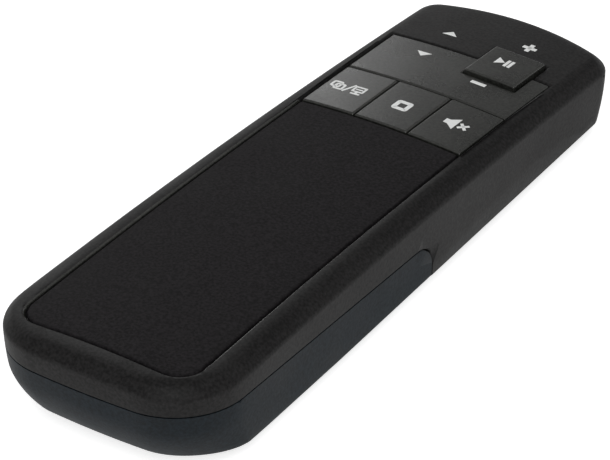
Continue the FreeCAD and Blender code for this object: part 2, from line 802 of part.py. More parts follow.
def make_cell(name, sign, nub_far):
    """AAA cell with its raised positive end."""
    x = f"{sign} * cell_spacing / 2"
    if nub_far:
        low = "stand_shift - cell_near"
        high = f"{low} + cell_length"
        can = lying(name + "_can", "cell_diameter / 2", x, low, f"{high} - nub_height", CELL_AXIS)
        nub = lying(name + "_nub", "nub_radius", x, f"{high} - nub_height - 0.2", high, CELL_AXIS)
    else:
        low = f"{BAY_NEAR} + contact_thickness + 0.1"
        high = f"{low} + cell_length"
        can = lying(name + "_can", "cell_diameter / 2", x, f"{low} + nub_height", high, CELL_AXIS)
        nub = lying(name + "_nub", "nub_radius", x, low, f"{low} + nub_height + 0.2", CELL_AXIS)
    return join(name, can, nub)


def make_contacts():
    """Spring and plate contacts at both ends of the bay."""
    for side, sign, near_spring in (("left", -1, True), ("right", 1, False)):
        x = f"{sign} * cell_spacing / 2"
        near_plate = (BAY_NEAR, f"{BAY_NEAR} + contact_thickness")
        far_plate = (f"{BAY_FAR} - contact_thickness", BAY_FAR)
        spring_y, plate_y = (near_plate, far_plate) if near_spring else (far_plate, near_plate)
        half = "cell_diameter / 2 - 0.8"
        for kind, y in (("spring_plate", spring_y), ("tip_plate", plate_y)):
            plate = box(
                f"{kind}_{side}",
                (f"{x} - ( {half} )", f"{x} + ( {half} )"),
                y,
                (f"{CELL_AXIS} - ( {half} )", f"{CELL_AXIS} + ( {half} )"),
            )
            node(plate, f"{kind}_{side}", "stand")
        if near_spring:
            ends = (spring_y[1], "stand_shift - cell_near - 0.05")
            radii = ("spring_base", "spring_tip")
        else:
            ends = (f"{BAY_NEAR} + contact_thickness + 0.15 + cell_length", spring_y[0])
            radii = ("spring_tip", "spring_base")
        spring = lying(f"spring_{side}", radii[0], x, *ends, CELL_AXIS, tip=radii[1])
        node(spring, f"spring_{side}", "stand")


node(make_upper_housing(), "upper_housing")
node(make_lower_housing(), "lower_housing")
node(make_battery_cover(), "battery_cover")
pad, glue = make_pad()
node(pad, "palm_pad")
node(glue, "pad_glue")
for key in make_keys():
    node(key, key.Name)
node(make_rocker(), "rocker_key")
node(make_key_frame(), "key_frame")
make_board()
make_screws()
node(make_tray(), "battery_tray", "stand")
node(make_cell("cell_left", -1, True), "cell_left", "stand")
node(make_cell("cell_right", 1, False), "cell_right", "stand")
make_contacts()
doc.recompute()


def place_in_stand():
    """Tilt the deck onto its underside and centre the housing over the origin."""
    tilt = math.radians(size("tilt"))
    turn = FreeCAD.Rotation(FreeCAD.Vector(1, 0, 0), -size("tilt"))
    lift = size("body_depth") * math.cos(tilt)
    turned = outer.Shape.copy()
    turned.Placement = FreeCAD.Placement(FreeCAD.Vector(0, 0, lift), turn)
    bounds = turned.optimalBoundingBox(True, False)
    shift = -(bounds.YMin + bounds.YMax) / 2
    sheet.set(CELLS["stand_shift"], str(round(shift, 4)))
    doc.recompute()
    print(f"deck shifted by {shift:.4f} and lifted by {lift:.4f}")
    return FreeCAD.Placement(FreeCAD.Vector(0, shift, lift), turn)


deck = place_in_stand()
failed = [thing.Name for thing in doc.Objects if "Invalid" in thing.State or "Error" in thing.State]
if failed:
    raise RuntimeError("failed objects: " + ", ".join(failed))
os.makedirs(NODES_FOLDER, exist_ok=True)
for thing, frame in NODES:
    if frame == "deck":
        thing.Placement = deck.multiply(thing.Placement)
    shape = thing.Shape
    if shape.isNull() or not shape.isValid():
        raise RuntimeError("bad shape: " + thing.Label)
    shape.exportStep(f"{NODES_FOLDER}/{thing.Label}.step")
    solids = len(shape.Solids)
    print(f"{thing.Label}: {solids} solid(s), {shape.Volume:.1f} cubic mm")
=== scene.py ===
"""Wireless presentation clicker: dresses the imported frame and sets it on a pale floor."""

import math

import bpy
from bpy.props import FloatProperty, FloatVectorProperty, PointerProperty
from mathutils import Matrix, Vector


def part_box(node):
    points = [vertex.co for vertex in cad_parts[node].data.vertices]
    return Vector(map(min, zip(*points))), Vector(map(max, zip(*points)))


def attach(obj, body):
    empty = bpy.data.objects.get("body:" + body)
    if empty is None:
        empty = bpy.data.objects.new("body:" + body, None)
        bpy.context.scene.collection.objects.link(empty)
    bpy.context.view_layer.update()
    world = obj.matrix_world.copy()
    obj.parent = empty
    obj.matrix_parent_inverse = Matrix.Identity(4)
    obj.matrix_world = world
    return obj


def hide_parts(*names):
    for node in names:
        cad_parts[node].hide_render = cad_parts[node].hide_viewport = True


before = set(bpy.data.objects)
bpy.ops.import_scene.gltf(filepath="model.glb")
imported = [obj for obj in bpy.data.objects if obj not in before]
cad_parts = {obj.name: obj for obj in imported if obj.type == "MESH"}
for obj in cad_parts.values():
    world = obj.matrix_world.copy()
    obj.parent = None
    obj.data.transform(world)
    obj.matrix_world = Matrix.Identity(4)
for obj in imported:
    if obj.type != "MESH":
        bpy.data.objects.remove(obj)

bl_info = {
    "name": "Presentation Clicker",
    "version": (1, 0, 0),
    "blender": (4, 5, 0),
    "location": "View3D > Sidebar > Clicker",
    "description": "Dress the packed presentation clicker and set its stage",
    "category": "Object",
}

# Lengths are in metres and angles in radians, except where a name or comment says otherwise
MM = 0.001

# Cleaning the copies of CAD nodes and finding their edges
WELD_DISTANCE = 0.000004
FLAT_ANGLE = math.radians(0.05)
BROKEN_EDGE_ANGLE = math.radians(30)
SHARP_EDGE_ANGLE = math.radians(14)
LARGE_FACE_WEIGHT = 60

# Widths of the softened edges
CREST_EDGE = 0.0005
BILGE_EDGE = 0.0004
FLOOR_PLATE_EDGE = 0.0001
PAD_EDGE = 0.00035
KEY_EDGE = 0.00012

# Where the outer top edge of the shell runs: past one of these, near the deck and nearly level
CREST_SIDE = 0.0179
CREST_NEAR = -0.0625
CREST_FAR = 0.0592
CREST_UNDER_DECK = -0.0068
CREST_SLOPE = 0.4

# Where the outer bottom edges run: on the table or along the top of the bottom bevel
BILGE_FLOOR = 0.0001
BILGE_LOW, BILGE_HIGH = 0.0021, 0.0027
BILGE_SLOPE = 0.3

# How the cover's near-end bottom is drawn in, between two places along Y and below a height
TUCK_START, TUCK_END = -0.046, -0.064
TUCK_TOP = 0.0095
TUCK_CURVE = 1.4
TUCK_INWARD = 0.0021
TUCK_LIFT = 0.0013
TUCK_NARROWING = 0.07

# The bevel round the palm pad: the centres of its near corners, its reach and its ends
PAD_CORNER_X = 0.0125
PAD_CORNER_Y = -0.0565
PAD_REACH = 0.0053
PAD_FAR_END = 0.0188
PAD_LOWEST = 0.012

# Faces whose normal's height is between these slope like a broken edge and get the painted edge
# highlight
SHINE_LOW, SHINE_HIGH = 0.4, 0.94

# A face looks along an axis where its normal reaches this
FACING = 0.9


class ClickerDeck(bpy.types.PropertyGroup):
    """Where the tilted and crowned deck lies."""

    tilt: FloatProperty(
        name="Tilt", description="Slope of the deck", default=math.radians(3.2), subtype="ANGLE"
    )
    shift: FloatProperty(
        name="Shift", description="Deck origin along Y",
        default=0.01912, unit="LENGTH", precision=5,
    )
    lift: FloatProperty(
        name="Lift", description="Deck origin over the table",
        default=0.01737, unit="LENGTH", precision=5,
    )
    across: FloatProperty(
        name="Crown across", description="Crown radius side to side", default=0.202, unit="LENGTH"
    )
    along: FloatProperty(
        name="Crown along", description="Crown radius end to end", default=1.394, unit="LENGTH"
    )
    play_rise: FloatProperty(
        name="Play key rise", description="Height of the play key over the deck",
        default=0.0008, unit="LENGTH", precision=5,
    )


class ClickerPrints(bpy.types.PropertyGroup):
    """Sizes of the printed marks."""

    stroke: FloatProperty(
        name="Stroke", description="Line width of the plus and minus marks",
        default=0.00095, unit="LENGTH", precision=5,
    )
    depth: FloatProperty(
        name="Depth", description="Height of a mark's body",
        default=0.0003, unit="LENGTH", precision=5,
    )
    proud: FloatProperty(
        name="Proud", description="How far a mark stands over its key",
        default=0.00003, unit="LENGTH", precision=5,
    )


class ClickerFinishes(bpy.types.PropertyGroup):
    """Colours of the main finishes."""

    housing: FloatVectorProperty(
        name="Housing", description="Soft-touch black of the shell",
        subtype="COLOR", default=(0.0048, 0.0046, 0.0046), min=0, max=1,
    )
    # The blue tint in the cover's black is a painted reflection of bluish light from the front.
    cover: FloatVectorProperty(
        name="Battery cover", description="Black of the battery cover",
        subtype="COLOR", default=(0.0032, 0.0050, 0.0066), min=0, max=1,
    )
    pad: FloatVectorProperty(
        name="Palm pad", description="Black of the soft pad",
        subtype="COLOR", default=(0.0056, 0.0050, 0.0055), min=0, max=1,
    )
    keys: FloatVectorProperty(
        name="Keys", description="Satin dark grey of the keys",
        subtype="COLOR", default=(0.0115, 0.0118, 0.0105), min=0, max=1,
    )
    ink: FloatVectorProperty(
        name="Print", description="White of the printed marks",
        subtype="COLOR", default=(0.93, 0.94, 0.93), min=0, max=1,
    )


class ClickerStage(bpy.types.PropertyGroup):
    """Camera and lamps."""

    camera_place: FloatVectorProperty(
        name="Camera", description="Where the camera stands",
        subtype="TRANSLATION", default=(0.3566, -0.49711, 0.42543),
    )
    camera_turn: FloatVectorProperty(
        name="Camera turn", description="How the camera is turned", subtype="EULER",
        default=(math.radians(55.5575), math.radians(1.8195), math.radians(34.6272)),
    )
    lens: FloatProperty(name="Lens", description="Focal length in millimetres", default=256.1)
    window: FloatProperty(name="Window", description="Power of the large left lamp", default=1.3)
    fill: FloatProperty(name="Fill", description="Power of the lamp over the camera", default=2.8)
    sky: FloatProperty(name="Sky", description="Strength of the light from above", default=0.38)


# Shared ways of working


def nothing_selected():
    """Leave edit mode and deselect everything."""
    if bpy.context.object and bpy.context.object.mode != "OBJECT":
        bpy.ops.object.mode_set(mode="OBJECT")
    bpy.ops.object.select_all(action="DESELECT")


def only(*pieces):
    """Select just these pieces and make the first one active."""
    nothing_selected()
    for piece in pieces:
        piece.select_set(True)
    bpy.context.view_layer.objects.active = pieces[0]
    return pieces[0]


def nothing_picked(piece, kind):
    """Open a piece in edit mode, to pick its faces or edges, with none picked yet."""
    only(piece)
    bpy.ops.object.mode_set(mode="EDIT")
    bpy.ops.mesh.select_mode(type=kind)
    bpy.ops.mesh.select_all(action="DESELECT")


def pick_faces(piece, wanted):
    """Select in edit mode the faces that a test on their normal picks."""
    nothing_picked(piece, "FACE")
    bpy.ops.object.mode_set(mode="OBJECT")
    for face in piece.data.polygons:
        face.select = wanted(face.normal)
    bpy.ops.object.mode_set(mode="EDIT")


def finish_modifier(piece, name, kind, **values):
    """Add a modifier, set its values and apply it."""
    only(piece)
    modifier = piece.modifiers.new(name, kind)
    for key, value in values.items():
        setattr(modifier, key, value)
    bpy.ops.object.modifier_apply(modifier=modifier.name)


def smooth(piece, degrees=35, even=False):
    """Shade a piece smooth up to an angle, with large faces kept flat where asked."""
    only(piece)
    bpy.ops.object.shade_smooth_by_angle(angle=math.radians(degrees))
    if even:
        finish_modifier(
            piece, "even", "WEIGHTED_NORMAL",
            mode="FACE_AREA", weight=LARGE_FACE_WEIGHT, keep_sharp=True,
        )


def rest(piece):
    """Put a piece's place, turn and scale into its mesh."""
    only(piece)
    bpy.ops.object.transform_apply(location=True, rotation=True, scale=True)


def soft_copy(node, edge=0.0):
    """Copy a CAD node, merge its loose triangles and break its sharp edges where asked."""
    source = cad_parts[node]
    piece = bpy.data.objects.new(f"{node}_finish", source.data.copy())
    bpy.context.scene.collection.objects.link(piece)
    piece.matrix_world = source.matrix_world
    rest(piece)
    bpy.ops.object.mode_set(mode="EDIT")
    bpy.ops.mesh.select_all(action="SELECT")
    bpy.ops.mesh.remove_doubles(threshold=WELD_DISTANCE)
    bpy.ops.mesh.dissolve_limited(angle_limit=FLAT_ANGLE)
    bpy.ops.object.mode_set(mode="OBJECT")
    if edge:
        finish_modifier(
            piece, "edge", "BEVEL", width=edge, segments=2, limit_method="ANGLE",
            angle_limit=BROKEN_EDGE_ANGLE, use_clamp_overlap=True, miter_outer="MITER_ARC",
        )
    smooth(piece, degrees=50, even=bool(edge))
    return piece


def rounded_chain(piece, wanted, width, segments=3):
    """Round the sharp edges that a test on both ends picks."""
    nothing_picked(piece, "EDGE")
    bpy.ops.mesh.edges_select_sharp(sharpness=SHARP_EDGE_ANGLE)
    bpy.ops.object.mode_set(mode="OBJECT")
    points = piece.data.vertices
    for edge in piece.data.edges:
        edge.select = edge.select and wanted(*(points[i].co for i in edge.vertices))
    bpy.ops.object.mode_set(mode="EDIT")
    bpy.ops.mesh.bevel(offset=width, segments=segments, affect="EDGES", clamp_overlap=False)
    bpy.ops.object.mode_set(mode="OBJECT")


def on_crest(a, b):
    """Tell whether an edge runs round the outer top of the shell."""
    deck = bpy.context.scene.clicker_deck
    slope = math.tan(deck.tilt)
    outside = all(
        abs(p.x) > CREST_SIDE or p.y < CREST_NEAR or p.y > CREST_FAR for p in (a, b)
    )
    high = all(
        p.z + slope * (p.y - deck.shift) - deck.lift > CREST_UNDER_DECK for p in (a, b)
    )
    return outside and high and abs(a.z - b.z) < CREST_SLOPE * (a - b).length


def on_bilge(a, b):
    """Tell whether an edge runs round the outer bottom."""
    low = all(p.z < BILGE_FLOOR or BILGE_LOW < p.z < BILGE_HIGH for p in (a, b))
    return low and abs(a.z - b.z) < BILGE_SLOPE * (a - b).length


def dressed(piece, finish):
    """Give all of a piece one finish."""
    piece.data.materials.clear()
    piece.data.materials.append(finish)


def stands_for(piece, node, body, finish):
    """Let a piece stand for one CAD node in its body and slot."""
    dressed(piece, finish)
    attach(piece, body)
    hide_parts(node)


# Finishes

# The grain: how fine it and the clouds over it are, where its flecks start and are full, how
# much the clouds move them, and how far the clouds and the grain move the gloss and surface
GRAIN_DETAIL = 4
CLOUD_SCALE = 70
CLOUD_DETAIL = 3
CLOUD_SHARE = 0.35
CLOUD_LOW, CLOUD_HIGH = 0.3, 0.7
FLECK_START, FLECK_FULL = 0.52, 0.84
GLOSS_SPREAD = 0.05
RELIEF_DEPTH = 0.00003

# Each dark plastic or rubber: the colour setting that it starts from, how much that is lifted,
# how much paler its flecks are, its roughness, grain scale, relief and specular level
PLASTICS = {
    "soft_touch_black": ("housing", 1.0, 3.6, 0.58, 1900, 1.0, 0.16),
    "cover_black": ("cover", 1.0, 3.0, 0.6, 1900, 1.0, 0.15),
    "pad_rubber": ("pad", 1.0, 3.2, 0.75, 2100, 1.0, 0.12),
    "key_satin": ("keys", 1.0, 2.6, 0.28, 2000, 0.6, 0.33),
    # The edge finish starts from the keys' colour lifted 1.6 times, which is a painted highlight
    # on broken edges; its lower roughness and higher specular level are its own gloss.
    "polished_edge": ("keys", 1.6, 2.2, 0.22, 2600, 0.3, 0.6),
}

# Each plain inner part: its finish's name, colour and roughness
INNER_FINISHES = {
    "battery_tray": ("tray_black", (0.014, 0.014, 0.014), 0.5),
    "key_frame": ("frame_black", (0.02, 0.02, 0.02), 0.55),
    "pad_glue": ("glue_film", (0.5, 0.5, 0.47), 0.4),
    "radio_chip": ("chip_black", (0.02, 0.02, 0.021), 0.4),
}
INNER_FLECK = 1.35
NICKEL_NODES = ("spring_plate", "tip_plate", "dome", "crystal")

# The darker tones in brushed metal and in the printed white
BRUSHED_TONE = 0.82
INK_TONE = 0.94


def grained(name, colour, fleck, rough, grain, bump, level=0.5, metallic=0.0):
    """Make a finish with fine grain in its colour, gloss and surface."""
    found = bpy.data.materials.get(name)
    if found:
        return found
    finish = bpy.data.materials.new(name)
    finish.use_nodes = True
    nodes, links = finish.node_tree.nodes, finish.node_tree.links
    shader = nodes["Principled BSDF"]
    shader.inputs["Metallic"].default_value = metallic
    shader.inputs["Specular IOR Level"].default_value = level
    place = nodes.new("ShaderNodeTexCoord")
    fine = nodes.new("ShaderNodeTexNoise")
    fine.inputs["Scale"].default_value = grain
    fine.inputs["Detail"].default_value = GRAIN_DETAIL
    cloud = nodes.new("ShaderNodeTexNoise")
    cloud.inputs["Scale"].default_value = CLOUD_SCALE
    cloud.inputs["Detail"].default_value = CLOUD_DETAIL
    tones = nodes.new("ShaderNodeValToRGB")
    dark, light = tones.color_ramp.elements
    dark.position, light.position = FLECK_START, FLECK_FULL
    dark.color, light.color = (*colour, 1), (*fleck, 1)
    soft = nodes.new("ShaderNodeMath")
    soft.operation = "MULTIPLY"
    soft.inputs[1].default_value = CLOUD_SHARE
    blend = nodes.new("ShaderNodeMath")
    blend.operation = "ADD"
    gloss = nodes.new("ShaderNodeMapRange")
    gloss.inputs["From Min"].default_value = CLOUD_LOW
    gloss.inputs["From Max"].default_value = CLOUD_HIGH
    gloss.inputs["To Min"].default_value = rough - GLOSS_SPREAD
    gloss.inputs["To Max"].default_value = rough + GLOSS_SPREAD
    relief = nodes.new("ShaderNodeBump")
    relief.inputs["Strength"].default_value = bump
    relief.inputs["Distance"].default_value = RELIEF_DEPTH
    links.new(place.outputs["Object"], fine.inputs["Vector"])
    links.new(place.outputs["Object"], cloud.inputs["Vector"])
    links.new(fine.outputs["Fac"], blend.inputs[0])
    links.new(cloud.outputs["Fac"], soft.inputs[0])
    links.new(soft.outputs["Value"], blend.inputs[1])
    links.new(blend.outputs["Value"], tones.inputs["Fac"])
    links.new(tones.outputs["Color"], shader.inputs["Base Color"])
    links.new(cloud.outputs["Fac"], gloss.inputs["Value"])
    links.new(gloss.outputs["Result"], shader.inputs["Roughness"])
    links.new(fine.outputs["Fac"], relief.inputs["Height"])
    links.new(relief.outputs["Normal"], shader.inputs["Normal"])
    return finish


def brushed(name, colour, rough, stretch):
    """Make a metal finish with fine lines along one direction."""
    darker = tuple(c * BRUSHED_TONE for c in colour)
    finish = grained(name, colour, darker, rough, grain=900, bump=0.25, metallic=1.0)
    nodes, links = finish.node_tree.nodes, finish.node_tree.links
    if "Mapping" not in nodes:
        place = next(n for n in nodes if n.type == "TEX_COORD")
        fine = next(n for n in nodes if n.type == "TEX_NOISE")
        mapping = nodes.new("ShaderNodeMapping")
        mapping.inputs["Scale"].default_value = stretch
        links.new(place.outputs["Object"], mapping.inputs["Vector"])
        links.new(mapping.outputs["Vector"], fine.inputs["Vector"])
    return finish


def paler(colour, factor):
    """Lift a colour by a factor, up to white."""
    return tuple(min(1.0, c * factor) for c in colour)


def plastic(name):
    """Make one of the clicker's dark plastics or rubbers."""
    source, lift, fleck, rough, grain, bump, level = PLASTICS[name]
    colour = paler(getattr(bpy.context.scene.clicker_finishes, source), lift)
    return grained(name, colour, paler(colour, fleck), rough, grain, bump, level)


def ink_finish():
    """Make the white of the printed marks."""
    colour = tuple(bpy.context.scene.clicker_finishes.ink)
    darker = tuple(c * INK_TONE for c in colour)
    return grained("printed_white", darker, colour, rough=0.55, grain=1800, bump=0.1)


def painted_edge_highlight(piece, inside=lambda centre: True):
    """Give the sloping faces of a piece's broken edges a glossier finish whose paler colour is a
    painted highlight.
    """
    piece.data.materials.append(plastic("polished_edge"))
    highlight_slot = len(piece.data.materials) - 1
    for face in piece.data.polygons:
        if SHINE_LOW < face.normal.z < SHINE_HIGH and inside(face.center):
            face.material_index = highlight_slot


def round_the_pad(centre):
    """Tell whether a place lies on the bevel round the palm pad."""
    past_x = max(0.0, abs(centre.x) - PAD_CORNER_X)
    past_y = max(0.0, PAD_CORNER_Y - centre.y)
    near = math.hypot(past_x, past_y) < PAD_REACH
    return near and centre.y < PAD_FAR_END and centre.z > PAD_LOWEST


# Printed marks, drawn flat at the origin and then laid on the crown

# Where each mark lies on the deck, in millimetres across and along, with its body and slot
MARKS = {
    "mark_up": (-7.5, 34.3, "housing", "housing_plastic"),
    "mark_down": (-7.5, 24.9, "rocker_key_body", "rocker_plastic"),
    "mark_plus": (6.8, 37.8, "housing", "housing_plastic"),
    "mark_minus": (6.4, 21.5, "rocker_key_body", "rocker_plastic"),
    "mark_stop": (0, 7.1, "key_stop_body", "key_plastic"),
    "mark_mute": (10.8, 7.5, "key_mute_body", "key_plastic"),
    "mark_screen": (-11.5, 7.4, "key_screen_body", "key_plastic"),
    "mark_play": (6.8, 29.4, "key_play_pause_body", "key_plastic"),
}

# Shares of a stroke's narrower side that its corners take
BAR_CORNER = 0.12
TRIANGLE_CORNER = 0.06
CORNER_ANGLE = math.radians(60)

# The loudspeaker's square back and flared front, as shares of its width and height
SPEAKER_BACK_PLACE = 0.35
SPEAKER_BACK_WIDTH = 0.3
SPEAKER_BACK_HEIGHT = 0.36
SPEAKER_FRONT_WIDTH = 0.6


def block(width, height, x=0.0, y=0.0, turn=0.0):
    """Place a flat block with the depth of a mark."""
    nothing_selected()
    bpy.ops.mesh.primitive_cube_add(size=1, location=(x, y, 0), rotation=(0, 0, turn))
    piece = bpy.context.object
    piece.scale = (width, height, bpy.context.scene.clicker_prints.depth)
    rest(piece)
    return piece


def cornered(piece, width):
    """Round the corners of a stroke a little."""
    finish_modifier(
        piece, "corner", "BEVEL", width=width, segments=2,
        limit_method="ANGLE", angle_limit=CORNER_ANGLE,
    )
    return piece


def bar(width, height, x=0.0, y=0.0, turn=0.0):
    """Draw a bar of a mark with slightly rounded corners."""
    return cornered(block(width, height, x, y, turn), min(width, height) * BAR_CORNER)


def triangle(width, height, x=0.0, turn=0.0):
    """Draw a solid triangle that points along Y before it is turned."""
    nothing_selected()
    depth = bpy.context.scene.clicker_prints.depth
    bpy.ops.mesh.primitive_cylinder_add(vertices=3, radius=1, depth=depth)
    piece = bpy.context.object
    piece.scale = (width / math.sqrt(3), height / 1.5, 1)
    rest(piece)
    piece.location = (0, -height / 6, 0)
    rest(piece)
    piece.location = (x, 0, 0)
    piece.rotation_euler = (0, 0, turn)
    rest(piece)
    return cornered(piece, min(width, height) * TRIANGLE_CORNER)


def ring(width, height, stroke, corner, x=0.0, y=0.0):
    """Draw a rounded rectangular outline."""
    piece = block(width, height, x, y)
    half_depth = bpy.context.scene.clicker_prints.depth / 2
    nothing_picked(piece, "EDGE")
    bpy.ops.object.mode_set(mode="OBJECT")
    for edge in piece.data.edges:
        a, b = (piece.data.vertices[i].co for i in edge.vertices)
        edge.select = abs(a.z - b.z) > half_depth
    bpy.ops.object.mode_set(mode="EDIT")
    bpy.ops.mesh.bevel(offset=corner, segments=4, affect="EDGES")
    pick_faces(piece, lambda normal: abs(normal.z) > FACING)
    bpy.ops.mesh.inset(thickness=stroke, depth=0)
    bpy.ops.mesh.bridge_edge_loops()
    bpy.ops.object.mode_set(mode="OBJECT")
    return piece


def speaker(width, height, x):
    """Draw a loudspeaker with a square back and a flared front."""
    back_x = x - width * SPEAKER_BACK_PLACE
    piece = block(width * SPEAKER_BACK_WIDTH, height * SPEAKER_BACK_HEIGHT, back_x)
    pick_faces(piece, lambda normal: normal.x > FACING)
    forward = (width * SPEAKER_FRONT_WIDTH, 0, 0)
    bpy.ops.mesh.extrude_region_move(TRANSFORM_OT_translate={"value": forward})
    bpy.ops.transform.resize(value=(1, 1 / SPEAKER_BACK_HEIGHT, 1))
    bpy.ops.object.mode_set(mode="OBJECT")
    return piece


def laid(name, parts, rise=0.0):
    """Join the strokes of one mark and lay it on the crown at its deck place."""
    deck = bpy.context.scene.clicker_deck
    prints = bpy.context.scene.clicker_prints
    across, along, body, slot = MARKS[name]
    x, y = across * MM, along * MM
    mark = only(*parts)
    if len(parts) > 1:
        bpy.ops.object.join()
    mark.name = name
    height = rise - x**2 / (2 * deck.across) - y**2 / (2 * deck.along)
    height += prints.proud - prints.depth / 2
    tilted = Matrix.Rotation(-deck.tilt, 3, "X")
    place = tilted @ Vector((x, y, height))
    nodding = Matrix.Rotation(-y / deck.along, 3, "X")
    rolling = Matrix.Rotation(x / deck.across, 3, "Y")
    mark.location = place + Vector((0, deck.shift, deck.lift))
    mark.rotation_euler = (tilted @ nodding @ rolling).to_euler()
    rest(mark)
    smooth(mark, degrees=30)
    dressed(mark, ink_finish())
    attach(mark, body)


# Pieces


class CLICKER_OT_housing(bpy.types.Operator):
    """Finish the two shells with broken edges and soft-touch black"""

    bl_idname = "clicker.housing"
    bl_label = "Housing"

    def execute(self, context):
        upper = soft_copy("upper_housing")
        rounded_chain(upper, on_crest, CREST_EDGE)
        smooth(upper, degrees=40, even=True)
        stands_for(upper, "upper_housing", "housing", plastic("soft_touch_black"))
        # Paints a highlight on the bevel round the palm pad, with a paler, glossier finish.
        painted_edge_highlight(upper, round_the_pad)
        lower = soft_copy("lower_housing", FLOOR_PLATE_EDGE)
        stands_for(lower, "lower_housing", "housing", plastic("soft_touch_black"))
        return {"FINISHED"}


def tucked(piece):
    """Draw the cover's near-end bottom in and up, walls and all, with the most at its foot."""
    for point in piece.data.vertices:
        along = (point.co.y - TUCK_START) / (TUCK_END - TUCK_START)
        along = min(1.0, max(0.0, along))
        eased = along * along * (3 - 2 * along)
        down = max(0.0, 1 - point.co.z / TUCK_TOP) ** TUCK_CURVE
        amount = eased * down
        point.co.x *= 1 - amount * TUCK_NARROWING
        point.co.y += amount * TUCK_INWARD
        point.co.z += amount * TUCK_LIFT


class CLICKER_OT_cover(bpy.types.Operator):
    """Finish the battery cover that slides off the near end"""

    bl_idname = "clicker.cover"
    bl_label = "Battery cover"

    def execute(self, context):
        piece = soft_copy("battery_cover")
        rounded_chain(piece, on_bilge, BILGE_EDGE, segments=2)
        tucked(piece)
        smooth(piece, degrees=40, even=True)
        stands_for(piece, "battery_cover", "battery_cover_body", plastic("cover_black"))
        return {"FINISHED"}


class CLICKER_OT_pad(bpy.types.Operator):
    """Finish the soft palm pad with rolled edges"""

    bl_idname = "clicker.pad"
    bl_label = "Palm pad"

    def execute(self, context):
        piece = soft_copy("palm_pad", PAD_EDGE)
        stands_for(piece, "palm_pad", "housing", plastic("pad_rubber"))
        return {"FINISHED"}


class CLICKER_OT_keys(bpy.types.Operator):
    """Finish the four keys and the rocker plate with fine edges"""

    bl_idname = "clicker.keys"
    bl_label = "Keys"

    def execute(self, context):
        for node in ("key_screen", "key_stop", "key_mute", "key_play_pause", "rocker_key"):
            piece = soft_copy(node, KEY_EDGE)
            stands_for(piece, node, f"{node}_body", plastic("key_satin"))
            # Paints a highlight on the keys' broken edges, with a paler, glossier finish.
            painted_edge_highlight(piece)
        return {"FINISHED"}


class CLICKER_OT_arrows(bpy.types.Operator):
    """Print the page arrows on the shell and on the rocker plate"""

    bl_idname = "clicker.arrows"
    bl_label = "Arrow marks"

    def execute(self, context):
        laid("mark_up", [triangle(3.2 * MM, 1.5 * MM)])
        laid("mark_down", [triangle(3.2 * MM, 1.6 * MM, turn=math.pi)])
        return {"FINISHED"}


class CLICKER_OT_signs(bpy.types.Operator):
    """Print the plus on the shell and the minus on the rocker plate"""

    bl_idname = "clicker.signs"
    bl_label = "Plus and minus marks"

    def execute(self, context):
        stroke = context.scene.clicker_prints.stroke
        laid("mark_plus", [bar(2.8 * MM, stroke), bar(stroke, 2.8 * MM)])
        laid("mark_minus", [bar(3.1 * MM, stroke)])
        return {"FINISHED"}


class CLICKER_OT_stop_mark(bpy.types.Operator):
    """Print the stop mark, a rounded square outline"""

    bl_idname = "clicker.stop_mark"
    bl_label = "Stop mark"

    def execute(self, context):
        laid("mark_stop", [ring(3.2 * MM, 3.1 * MM, stroke=0.85 * MM, corner=0.6 * MM)])
        return {"FINISHED"}


class CLICKER_OT_mute_mark(bpy.types.Operator):
    """Print the mute mark, a loudspeaker and a cross"""

    bl_idname = "clicker.mute_mark"
    bl_label = "Mute mark"

    def execute(self, context):
        parts = [speaker(2.7 * MM, 3.8 * MM, x=-0.9 * MM)]
        for degrees in (45, -45):
            parts.append(bar(2.3 * MM, 0.6 * MM, x=1.5 * MM, turn=math.radians(degrees)))
        laid("mark_mute", parts)
        return {"FINISHED"}


class CLICKER_OT_screen_mark(bpy.types.Operator):
    """Print the screen mark: two overlapping frames, a stroke and a lined page"""

    bl_idname = "clicker.screen_mark"
    bl_label = "Screen mark"

    def execute(self, context):
        page = 2.15 * MM
        parts = [
            ring(2.1 * MM, 2.1 * MM, stroke=0.45 * MM, corner=0.5 * MM, x=-2.6 * MM, y=0.3 * MM),
            ring(2.1 * MM, 2.1 * MM, stroke=0.45 * MM, corner=0.5 * MM, x=-1.7 * MM, y=-0.3 * MM),
            bar(0.45 * MM, 3.2 * MM, x=0.15 * MM, turn=math.radians(-24)),
            ring(2.5 * MM, 2.0 * MM, stroke=0.4 * MM, corner=0.25 * MM, x=page, y=0.3 * MM),
            bar(1.5 * MM, 0.35 * MM, x=page, y=0.3 * MM),
            bar(0.6 * MM, 0.6 * MM, x=page, y=-0.9 * MM),
            bar(1.9 * MM, 0.45 * MM, x=page, y=-1.3 * MM),
        ]
        laid("mark_screen", parts)
        return {"FINISHED"}


class CLICKER_OT_play_mark(bpy.types.Operator):
    """Print the play and pause mark"""

    bl_idname = "clicker.play_mark"
    bl_label = "Play mark"

    def execute(self, context):
        parts = [
            triangle(2.5 * MM, 1.8 * MM, x=-0.75 * MM, turn=-math.pi / 2),
            bar(0.65 * MM, 2.4 * MM, x=0.5 * MM),
            bar(0.65 * MM, 2.4 * MM, x=1.32 * MM),
        ]
        laid("mark_play", parts, rise=context.scene.clicker_deck.play_rise)
        return {"FINISHED"}


# The battery springs: half the wire's thickness, the coil's radius, and how it is wound
WIRE_RADIUS = 0.00028
COIL_RADIUS = 0.0027
COIL_TURNS = 4
COIL_STEPS = 28
COIL_TAPER = -0.35


